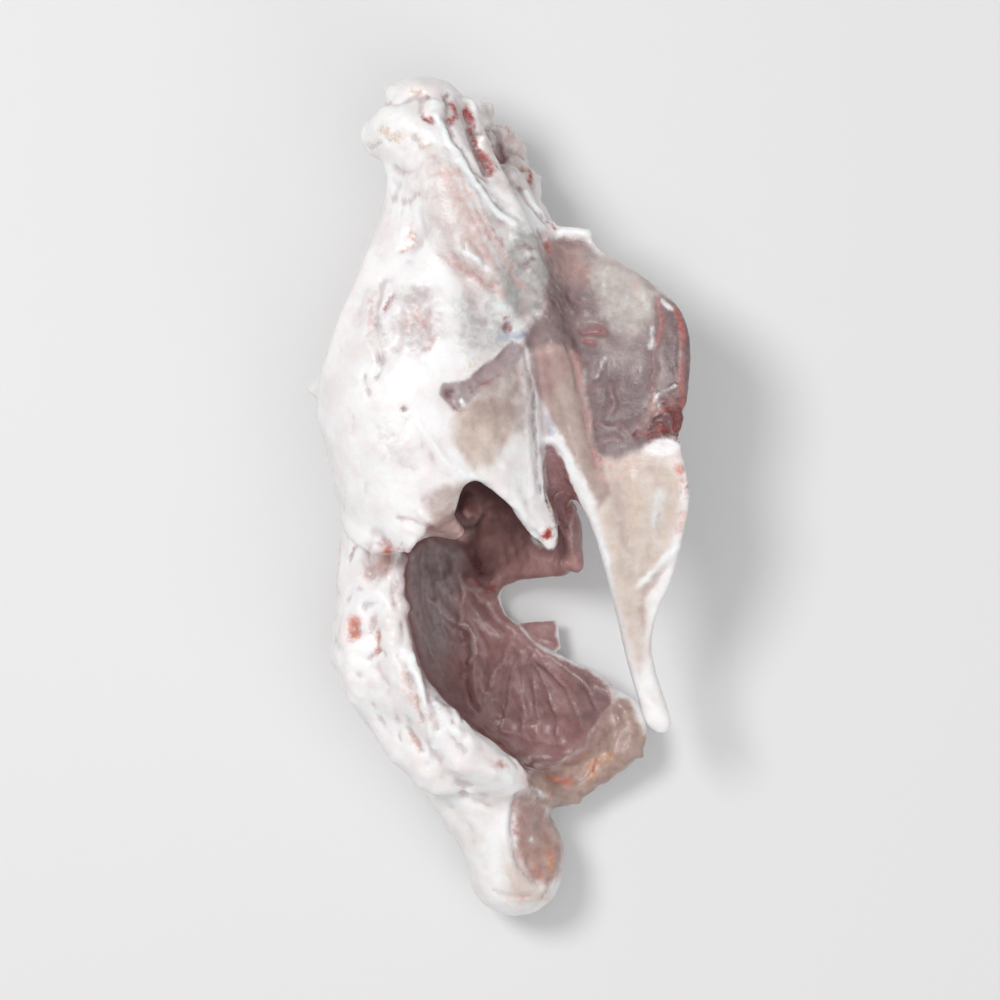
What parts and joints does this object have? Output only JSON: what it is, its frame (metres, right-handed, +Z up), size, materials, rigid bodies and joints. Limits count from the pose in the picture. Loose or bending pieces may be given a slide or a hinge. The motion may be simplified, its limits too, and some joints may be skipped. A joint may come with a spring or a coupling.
{
  "type": "raw chicken carcass",
  "caption": "Raw chicken carcass lying on its side: rib cage with breastbone and keel, shoulder bones, open hips and tail in one piece.",
  "frame": {"origin": "centre of the bounding box's base, on the surface that the carcass lies on", "axes": "+Y towards the neck end, along the back; +X towards the keel's free edge; +Z up, out of the right flank"},
  "size_m": [0.1049, 0.2333, 0.0698],
  "materials": {
    "raw_flesh": "wet raw skinless poultry: pale pink and cream over bone and gristle, semi-gloss"
  },
  "bodies": {
    "root": {"carcass": "raw_flesh"}
  },
  "joints": []
}
